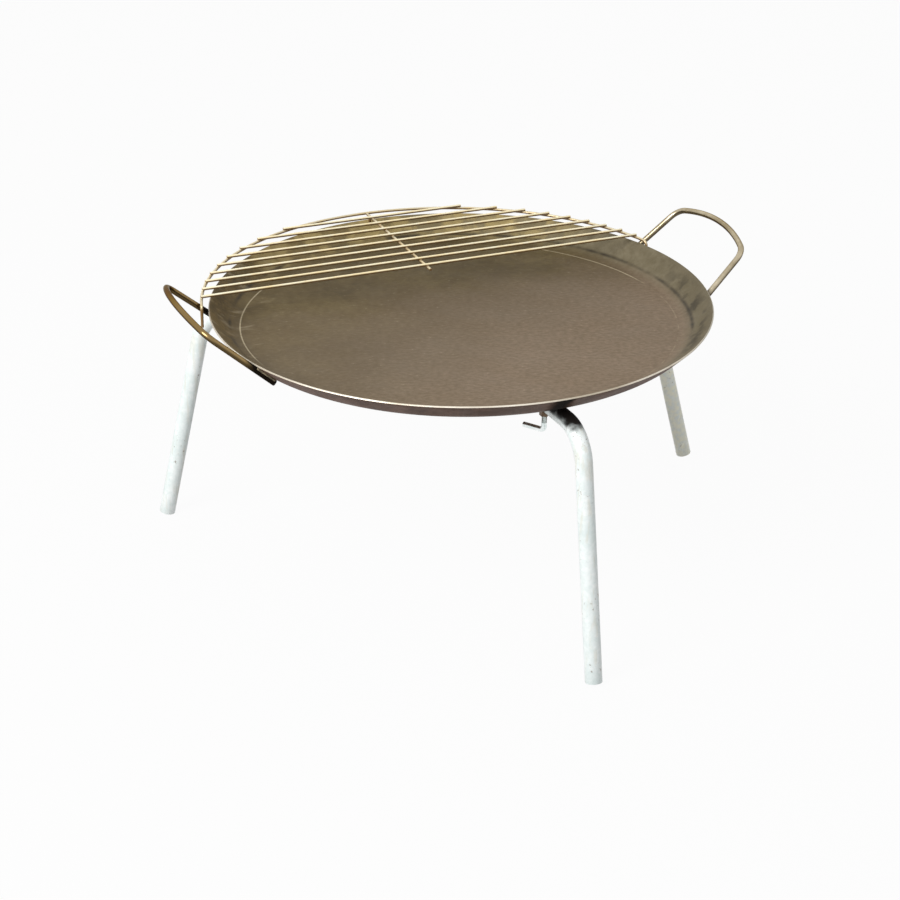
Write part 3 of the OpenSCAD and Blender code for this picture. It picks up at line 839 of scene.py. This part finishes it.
class GRIDDLE_OT_plate(bpy.types.Operator):
    """Spin the dished plate from the section of its sheet"""
    bl_idname = "griddle.plate"
    bl_label = "Plate"

    def execute(self, context):
        size = context.scene.griddle.plate
        sheet, slope, bend = size.thickness, size.rim_slope, size.bend_radius
        rim_in = size.radius - sheet * sin(slope)
        rise = size.depth - bend * (1 - cos(slope))
        floor_r = rim_in - rise / tan(slope) - bend * sin(slope)
        centre = Vector((floor_r, 0, bend))
        bm = bmesh.new()
        pen = bmesh.ops.create_vert(bm, co=(0, 0, 0))["vert"][0]
        pen = self.line(bm, pen, (floor_r, 0, 0), FLOOR_STEPS)
        pen = self.arc(bm, pen, centre, slope)
        pen = self.line(bm, pen, (rim_in, 0, size.depth), WALL_STEPS)
        pen = self.line(bm, pen, (size.radius, 0, size.depth - sheet * cos(slope)))
        under = centre + Vector((sin(slope), 0, -cos(slope))) * (bend + sheet)
        pen = self.line(bm, pen, under, WALL_STEPS)
        pen = self.arc(bm, pen, centre, -slope)
        self.line(bm, pen, (0, 0, -sheet), FLOOR_STEPS)
        bmesh.ops.spin(
            bm, geom=bm.verts[:] + bm.edges[:], cent=(0, 0, 0), axis=(0, 0, 1), angle=2 * pi, steps=size.steps,
            dvec=(0, 0, 0), use_merge=True, use_duplicate=False)
        bmesh.ops.remove_doubles(bm, verts=bm.verts, dist=MERGE_DISTANCE)
        bmesh.ops.recalc_face_normals(bm, faces=bm.faces)
        self.colour_faces(bm, rim_in)
        rim = [e for e in bm.edges if self.on_edge(e, size.radius, rim_in)]
        break_edges(bm, rim, size.edge_round)
        finishes = [
            finish_once("plate_top", plate_top_finish),
            finish_once("plate_under", plate_under_finish),
            finish_once("plate_cut_edge", cut_edge_finish)]
        make_piece("plate", bm, "plate", finishes, ["griddle_plate"])
        return {"FINISHED"}

    @staticmethod
    def line(bm, start, end, steps=1):
        """Draws the section on along a straight line."""
        step = (Vector(end) - start.co) / steps
        for _ in range(steps):
            made = bmesh.ops.extrude_vert_indiv(bm, verts=[start])["verts"]
            bmesh.ops.translate(bm, verts=made, vec=step)
            start = made[0]
        return start

    @staticmethod
    def arc(bm, start, centre, turn):
        """Draws the section on round a bend."""
        made = bmesh.ops.spin(
            bm, geom=[start], cent=centre, axis=(0, -1, 0), angle=turn, steps=DISH_BEND_STEPS,
            dvec=(0, 0, 0), use_merge=False, use_duplicate=False)["geom_last"]
        return [g for g in made if isinstance(g, bmesh.types.BMVert)][0]

    @staticmethod
    def on_edge(edge, radius, rim_in):
        """Whether this is one of the two rims of the cut edge."""
        far = [hypot(v.co.x, v.co.y) for v in edge.verts]
        return any(all(abs(f - rim) < SAME_RADIUS for f in far) for rim in (radius, rim_in))

    @staticmethod
    def colour_faces(bm, rim_in):
        """Gives the underside the second finish and the cut edge the third."""
        for face in bm.faces:
            middle = face.calc_center_median()
            far = hypot(middle.x, middle.y)
            if far > rim_in and face.normal.z > 0:
                face.material_index = 2
            elif face.normal.z < 0:
                face.material_index = 1


class GRIDDLE_OT_handles(bpy.types.Operator):
    """Bend the two rod handles and weld them under the rim"""
    bl_idname = "griddle.handles"
    bl_label = "Handles"

    def execute(self, context):
        settings = context.scene.griddle
        for side, azimuth in (("right", 0), ("left", pi)):
            self.handle(settings, side, azimuth)
        return {"FINISHED"}

    @staticmethod
    def corner(size, grip_x):
        """Centre of the bend that touches an arm on one side and the bow of the grip on the other."""
        lean = tan(size.arm_lean)
        start = size.arm_half - size.corner_radius / cos(size.arm_lean)
        a = 1 + lean ** 2
        b = grip_x + lean * start
        c = grip_x ** 2 + start ** 2 - (size.grip_radius - size.corner_radius) ** 2
        x = (b + sqrt(b * b - a * c)) / a
        return x, start - lean * x

    def handle(self, settings, side, azimuth):
        """Bends one handle flat, then tilts it and turns it to its side of the plate."""
        size = settings.handle
        root, _ = handle_root(settings)
        lean = size.arm_lean
        grip_x = size.reach - size.grip_radius
        corner_x, corner_y = self.corner(size, grip_x)
        grip_half = atan2(corner_y, corner_x - grip_x)
        arm = (corner_x + size.corner_radius * sin(lean)) / cos(lean)
        turn = pi / 2 - lean - grip_half
        along = Vector((cos(lean), -sin(lean), 0))
        start = Vector((0, size.arm_half, 0)) - along * size.tail
        bm = bmesh.new()
        rod = RodBender(bm, size.rod / 2, ROD_SIDES, start, along, (0, 0, 1))
        inward = Vector((-sin(lean), -cos(lean), 0))
        rod.run(size.tail + arm, steps=6)
        inward = rod.bend(size.corner_radius, turn, inward, steps=12)
        inward = rod.bend(size.grip_radius, 2 * grip_half, inward, steps=32)
        rod.bend(size.corner_radius, turn, inward, steps=12)
        rod.run(size.tail + arm, steps=6)
        close_rod(bm, rod, size.end_round)
        place = upright(azimuth) @ Matrix.Translation(root) @ Matrix.Rotation(-size.slope, 4, "Y")
        bmesh.ops.transform(bm, matrix=place, verts=bm.verts)
        name = "handle_" + side
        make_piece(name, bm, "plate", [finish_once("handle_rod", handle_finish)], [name])
        self.welds(settings, side, place, along, start)

    def welds(self, settings, side, place, along, start):
        """Beads on both sides of each arm, where it lies against the rim."""
        size = settings.handle
        bm = bmesh.new()
        for flip in (1, -1):
            turn = Matrix.Diagonal((1, flip, 1, 1))
            first = place @ turn @ (start + along * size.bead_setback)
            last = place @ turn @ (start + along * (size.tail - size.bead_setback))
            for hand in (1, -1):
                self.bead(bm, size, settings.plate.rim_slope, first, last, hand)
        make_piece("handle_welds_" + side, bm, "plate", [finish_once("weld", weld_finish)])

    @staticmethod
    def bead(bm, size, slope, first, last, hand):
        """One bead in the crevice between the rod and the cone, on one hand of the arm."""
        ends = []
        for point in (first, last):
            outward = Vector((point.x, point.y, 0)).normalized()
            inside = Vector((0, 0, cos(slope))) - outward * sin(slope)
            aside = inside.cross(last - first).normalized()
            ends.append(point + inside * (size.rod / 2 - size.bead_depth) + aside * (hand * size.bead_aside))
        weld_bead(bm, ends[0], ends[1], size.bead, size.bead_pitch)


class GRIDDLE_OT_sockets(bpy.types.Operator):
    """Finish the leg sockets and their nuts, and weld them under the floor"""
    bl_idname = "griddle.sockets"
    bl_label = "Sockets and nuts"

    def execute(self, context):
        settings = context.scene.griddle
        leg = settings.leg
        mouth = socket_mouth(settings)
        finish = finish_once("socket_tube", socket_finish)
        bm = bmesh.new()
        for side in SIDES:
            for node in ("leg_socket_" + side, "clamp_nut_" + side):
                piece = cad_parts[node]
                piece.data.materials.clear()
                piece.data.materials.append(finish)
            turn = upright(getattr(leg, side))
            z = -settings.plate.thickness - leg.bead_depth
            aside = leg.socket / 2 * leg.bead_aside
            for y in (aside, -aside):
                start = turn @ Vector((mouth - leg.socket_length + leg.bead_setback, y, z))
                end = turn @ Vector((mouth - leg.bead_setback, y, z))
                weld_bead(bm, start, end, leg.bead, leg.bead_pitch)
        make_piece("socket_welds", bm, "plate", [finish_once("weld", weld_finish)])
        return {"FINISHED"}


class GRIDDLE_OT_screws(bpy.types.Operator):
    """Bend the clamp screws and cut their threads"""
    bl_idname = "griddle.screws"
    bl_label = "Clamp screws"

    def execute(self, context):
        settings = context.scene.griddle
        size, leg = settings.screw, settings.leg
        z = socket_height(settings)
        tip = z - leg.tube / 2 - size.gap
        arm_z = z - leg.socket / 2 - size.drop
        for side in SIDES:
            bm = bmesh.new()
            self.thread(bm, size, tip)
            rod = RodBender(bm, size.rod / 2, ROD_SIDES, (0, 0, tip - size.thread_length), (0, 0, -1), (1, 0, 0))
            rod.run(tip - size.thread_length - arm_z - size.bend_radius)
            rod.bend(size.bend_radius, pi / 2, (1, 0, 0), steps=10)
            rod.run(size.arm - size.bend_radius, steps=3)
            close_rod(bm, rod, 0)
            break_edges(bm, rod.edges, size.end_round)
            axis = Matrix.Translation((socket_mouth(settings) - size.setback, 0, 0))
            place = upright(getattr(leg, side)) @ axis @ upright(pi + getattr(size, side))
            bmesh.ops.transform(bm, matrix=place, verts=bm.verts)
            make_piece(
                "clamp_screw_" + side, bm, "screw_" + side, [finish_once("plated_rod", plated_finish)],
                ["clamp_screw_" + side])
        return {"FINISHED"}

    @staticmethod
    def thread(bm, size, tip):
        """Threaded end as its own closed solid: one ridge spun up a screw line and cut square at both ends."""
        radius, depth, pitch = size.rod / 2, size.thread_depth, size.pitch
        low = tip - size.thread_length
        flank, crest = pitch * THREAD_FLANK, pitch * THREAD_CREST
        start = bmesh.ops.create_vert(bm, co=(radius - depth, 0, low - THREAD_SPARE_TURNS * pitch))["vert"]
        ridge = list(start)
        for move in ((depth, 0, flank), (0, 0, crest), (-depth, 0, flank)):
            start = bmesh.ops.extrude_vert_indiv(bm, verts=start)["verts"]
            bmesh.ops.translate(bm, verts=start, vec=move)
            ridge += start
        edges = list({e for v in ridge for e in v.link_edges})
        turns = round(size.thread_length / pitch) + 2 * THREAD_SPARE_TURNS
        bmesh.ops.spin(
            bm, geom=ridge + edges, cent=(0, 0, 0), axis=(0, 0, 1), angle=2 * pi * turns,
            steps=THREAD_STEPS * turns, dvec=(0, 0, pitch / THREAD_STEPS), use_merge=False, use_duplicate=False)
        bmesh.ops.remove_doubles(bm, verts=bm.verts, dist=MERGE_DISTANCE)
        for height, facing in ((low, -1), (tip, 1)):
            bmesh.ops.bisect_plane(
                bm, geom=bm.verts[:] + bm.edges[:] + bm.faces[:], dist=1e-7, plane_co=(0, 0, height),
                plane_no=(0, 0, facing), clear_outer=True, clear_inner=False)
            cut = [e for e in bm.edges
                   if e.is_boundary and all(abs(v.co.z - height) < MERGE_DISTANCE for v in e.verts)]
            bmesh.ops.edgeloop_fill(bm, edges=cut)


class GRIDDLE_OT_legs(bpy.types.Operator):
    """Bend the three leg tubes"""
    bl_idname = "griddle.legs"
    bl_label = "Legs"

    def execute(self, context):
        settings = context.scene.griddle
        size = settings.leg
        z = socket_height(settings)
        turn = pi / 2 - size.splay
        knee = settings.plate.radius + size.foot_step - self.fall(settings, z, 0) * tan(size.splay)
        bend_x = knee - size.bend_radius * tan(turn / 2)
        end_x = socket_mouth(settings) - size.socket_length + size.setback
        for side in SIDES:
            lean = getattr(size, side + "_lean")
            drop = (self.fall(settings, z, lean) - size.bend_radius * (1 - cos(turn))) / cos(size.splay)
            bm = bmesh.new()
            ends = []
            for radius in (size.tube / 2, size.tube / 2 - size.wall):
                tube = RodBender(bm, radius, TUBE_SIDES, (end_x, 0, z), (1, 0, 0), (0, 0, 1))
                tube.run(bend_x - end_x, steps=4)
                tube.bend(size.bend_radius, turn, (0, 0, -1), steps=24)
                tube.run(drop, steps=8)
                ends.append(tube.ends())
            outer, bore = ends
            cuts = [outer[0] + bore[0], outer[1] + bore[1]]
            for cut in cuts:
                bmesh.ops.bridge_loops(bm, edges=cut)
            bmesh.ops.recalc_face_normals(bm, faces=bm.faces)
            break_edges(bm, cuts[0] + cuts[1], size.end_round)
            seated = Matrix.Translation((getattr(size, side + "_pull"), 0, z))
            seat = seated @ Matrix.Rotation(lean, 4, "X") @ Matrix.Translation((0, 0, -z))
            bmesh.ops.transform(bm, matrix=upright(getattr(size, side)) @ seat, verts=bm.verts)
            name = "leg_" + side
            make_piece(name, bm, name, [finish_once("galvanised_tube", zinc_finish)], [name])
        return {"FINISHED"}

    @staticmethod
    def fall(settings, z, lean):
        """Drop of a foot's centre below its socket, in the plane of a leg with this lean."""
        size = settings.leg
        ground = settings.plate.depth - size.rim_height
        tilt = acos(cos(size.splay) * cos(lean))
        return (z - ground - size.tube / 2 * sin(tilt)) / cos(lean)


class GRIDDLE_OT_rack(bpy.types.Operator):
    """Bend and lay out the wires of the warming rack and weld them"""
    bl_idname = "griddle.rack"
    bl_label = "Warming rack"

    def execute(self, context):
        settings = context.scene.griddle
        rack = settings.rack
        wire = rack.wire / 2
        meet, radius, ring_z = rack_places(settings)
        bar_z = ring_z + rack.wire - rack.sink
        hook = atan2(meet.y, meet.x) - (settings.handle.rod + rack.wire) / 2 / radius
        front_bar = meet.y + rack.front_step
        pitch = (radius - rack.back_step - front_bar) / (rack.bars - 1)
        self.seat = rack_seat(settings, meet, ring_z)
        bm = bmesh.new()
        start = Matrix.Rotation(hook, 3, "Z") @ Vector((radius, -rack.hook_bend, 0))
        along = Matrix.Rotation(hook, 3, "Z") @ Vector((0, 1, 0))
        start.z = ring_z - rack.hook_bend - rack.hook
        arc = RodBender(bm, wire, WIRE_SIDES, start, (0, 0, 1), along)
        arc.run(rack.hook, steps=3)
        arc.bend(rack.hook_bend, pi / 2, along, steps=10)
        arc.bend(radius, pi - 2 * hook, (-arc.point.x, -arc.point.y, 0), steps=96)
        arc.bend(rack.hook_bend, pi / 2, (0, 0, -1), steps=10)
        arc.run(rack.hook, steps=3)
        # Arc and cross bar take painted shade all round, in part
        part_shaded = finish_once("drawn_wire_tinged", part_shaded_wire_finish)
        self.wire(rack, "rack_rim_wire", bm, arc, part_shaded)

        nuggets = bmesh.new()
        for i in range(rack.bars):
            y = front_bar + i * pitch
            half = sqrt((radius + rack.bar_end) ** 2 - y * y)
            bm = bmesh.new()
            bar = RodBender(bm, wire, WIRE_SIDES, (-half, y, bar_z), (1, 0, 0), (0, 0, 1))
            bar.run(2 * half, steps=12)
            self.wire(rack, "rack_bar_%d" % (i + 1), bm, bar, finish_once("drawn_wire", wire_finish))
            on_arc = sqrt(radius ** 2 - y * y)
            for x in (-on_arc, on_arc, rack.cross_x):
                self.nugget(nuggets, (x, y, (bar_z + ring_z) / 2), wire)

        back = sqrt(radius ** 2 - rack.cross_x ** 2) - rack.wire + rack.sink
        front = front_bar - rack.cross_end
        bm = bmesh.new()
        cross = RodBender(bm, wire, WIRE_SIDES, (rack.cross_x, front, ring_z), (0, 1, 0), (0, 0, 1))
        cross.run(back - front, steps=6)
        self.wire(rack, "rack_cross_bar", bm, cross, part_shaded)

        plate = settings.plate
        foot_y = plate.radius - rack.foot_setback
        foot_r = hypot(rack.cross_x, foot_y) + wire
        rim_in = plate.radius - plate.thickness * sin(plate.rim_slope)
        low = plate.depth - (rim_in - foot_r) * tan(plate.rim_slope) + rack.gap
        bm = bmesh.new()
        foot = RodBender(bm, wire, WIRE_SIDES, (rack.cross_x, foot_y, low), (0, 0, 1), (1, 0, 0))
        foot.run(ring_z - wire + rack.sink - low)
        # The foot under the cross bar takes painted shade all round
        self.wire(rack, "rack_foot", bm, foot, finish_once("drawn_wire_brown", shaded_wire_finish))
        self.nugget(nuggets, (rack.cross_x, foot_y, ring_z - wire), wire)
        bmesh.ops.transform(nuggets, matrix=self.seat, verts=nuggets.verts)
        make_piece("rack_welds", nuggets, "rack", [finish_once("drawn_wire_weld", wire_finish)])
        return {"FINISHED"}

    def wire(self, rack, name, bm, rod, finish):
        """Ends one wire of the rack and seats it with the others."""
        close_rod(bm, rod, rack.end_round)
        bmesh.ops.transform(bm, matrix=self.seat, verts=bm.verts)
        make_piece(name, bm, "rack", [finish], [name])

    @staticmethod
    def nugget(bm, place, wire):
        """Small squashed lump of a resistance weld between two wires."""
        made = bmesh.ops.create_icosphere(bm, subdivisions=2, radius=wire)["verts"]
        bmesh.ops.scale(bm, verts=made, vec=NUGGET_SQUASH)
        bmesh.ops.translate(bm, verts=made, vec=place)


class GRIDDLE_OT_stage(bpy.types.Operator):
    """Lay the floor, hang the lights and set the camera"""
    bl_idname = "griddle.stage"
    bl_label = "Stage"

    def execute(self, context):
        settings = context.scene.griddle
        stage = settings.stage
        scene = context.scene
        scene.view_settings.view_transform = "Standard"
        ground = settings.plate.depth - settings.leg.rim_height
        bm = bmesh.new()
        bmesh.ops.create_circle(
            bm, cap_ends=True, radius=stage.floor_radius, segments=64, matrix=Matrix.Translation((0, 0, ground)))
        mesh = bpy.data.meshes.new("floor")
        bm.to_mesh(mesh)
        bm.free()
        mesh.materials.append(self.floor_finish(stage))
        floor = bpy.data.objects.new("floor", mesh)
        scene.collection.objects.link(floor)
        scene.world = self.sky(stage.sky)
        self.lamp(scene, "key_light", stage.key, stage.key_size, stage.key_place)
        self.lamp(scene, "fill_light", stage.fill, stage.fill_size, stage.fill_place)
        self.lamp(scene, "back_light", stage.fill, stage.back_size, stage.back_place)
        lens = bpy.data.cameras.new("camera")
        lens.sensor_width = 36
        lens.lens = stage.lens
        camera = bpy.data.objects.new("camera", lens)
        camera.location = stage.camera_place
        camera.rotation_euler = stage.camera_turn
        scene.collection.objects.link(camera)
        scene.camera = camera
        return {"FINISHED"}

    @staticmethod
    def lamp(scene, name, power, size, place):
        """Hangs a round soft light that shines at the plate."""
        light = bpy.data.lights.new(name, "AREA")
        light.energy = power
        light.shape = "DISK"
        light.size = size
        lamp = bpy.data.objects.new(name, light)
        lamp.location = place
        lamp.rotation_euler = Vector(place).to_track_quat("Z", "Y").to_euler()
        scene.collection.objects.link(lamp)

    @staticmethod
    def seen_directly(tree):
        """Whether a ray comes straight from the camera, or by a mirror or through glass."""
        path = tree.nodes.new("ShaderNodeLightPath")
        seen = number(tree, "MAXIMUM", path.outputs["Is Camera Ray"], path.outputs["Is Glossy Ray"])
        return number(tree, "MAXIMUM", seen, path.outputs["Is Transmission Ray"])

    def floor_finish(self, stage):
        """Pale floor that is seen nearly white and keeps the shadow."""
        material = bpy.data.materials.new("floor")
        material.use_nodes = True
        tree = material.node_tree
        out = tree.nodes["Material Output"]
        tree.nodes.remove(tree.nodes["Principled BSDF"])
        matt = add_node(tree, "ShaderNodeBsdfDiffuse", {"Color": rgba([stage.floor_grey] * 3)})
        white = add_node(tree, "ShaderNodeEmission", {"Color": WHITE, "Strength": 1.0})
        seen = product(tree, self.seen_directly(tree), stage.floor_white)
        mixed = add_node(tree, "ShaderNodeMixShader", {0: seen, 1: matt.outputs[0], 2: white.outputs[0]})
        feed(tree, out, {"Surface": mixed.outputs[0]})
        return material

    def sky(self, strength):
        """Even light from all round, with a white backdrop where it is seen."""
        world = bpy.data.worlds.new("sky")
        world.use_nodes = True
        tree = world.node_tree
        shown = blend_number(tree, self.seen_directly(tree), strength, 1.0)
        feed(tree, tree.nodes["Background"], {"Color": WHITE, "Strength": shown})
        return world


class GRIDDLE_PT_panel(bpy.types.Panel):
    """Builds the griddle plate piece by piece"""
    bl_idname = "GRIDDLE_PT_panel"
    bl_label = "Griddle plate"
    bl_space_type = "VIEW_3D"
    bl_region_type = "UI"
    bl_category = "Griddle"

    def draw(self, context):
        for operator in OPERATORS:
            self.layout.operator(operator.bl_idname)
        for group in ("plate", "handle", "leg", "screw", "rack", "finish", "stage"):
            values = getattr(context.scene.griddle, group)
            box = self.layout.box()
            box.label(text=group.capitalize())
            for key in values.__annotations__:
                box.prop(values, key)


OPERATORS = (
    GRIDDLE_OT_plate, GRIDDLE_OT_handles, GRIDDLE_OT_sockets, GRIDDLE_OT_screws,
    GRIDDLE_OT_legs, GRIDDLE_OT_rack, GRIDDLE_OT_stage)
CLASSES = (
    PlateSettings, HandleSettings, LegSettings, ScrewSettings, RackSettings, FinishSettings, StageSettings,
    GriddleSettings) + OPERATORS + (GRIDDLE_PT_panel,)


def register():
    for item in CLASSES:
        bpy.utils.register_class(item)
    bpy.types.Scene.griddle = PointerProperty(type=GriddleSettings)


def unregister():
    del bpy.types.Scene.griddle
    for item in reversed(CLASSES):
        bpy.utils.unregister_class(item)


def main():
    register()
    bpy.ops.griddle.plate()
    bpy.ops.griddle.handles()
    bpy.ops.griddle.sockets()
    bpy.ops.griddle.screws()
    bpy.ops.griddle.legs()
    bpy.ops.griddle.rack()
    bpy.ops.griddle.stage()


if __name__ == "__main__":
    main()
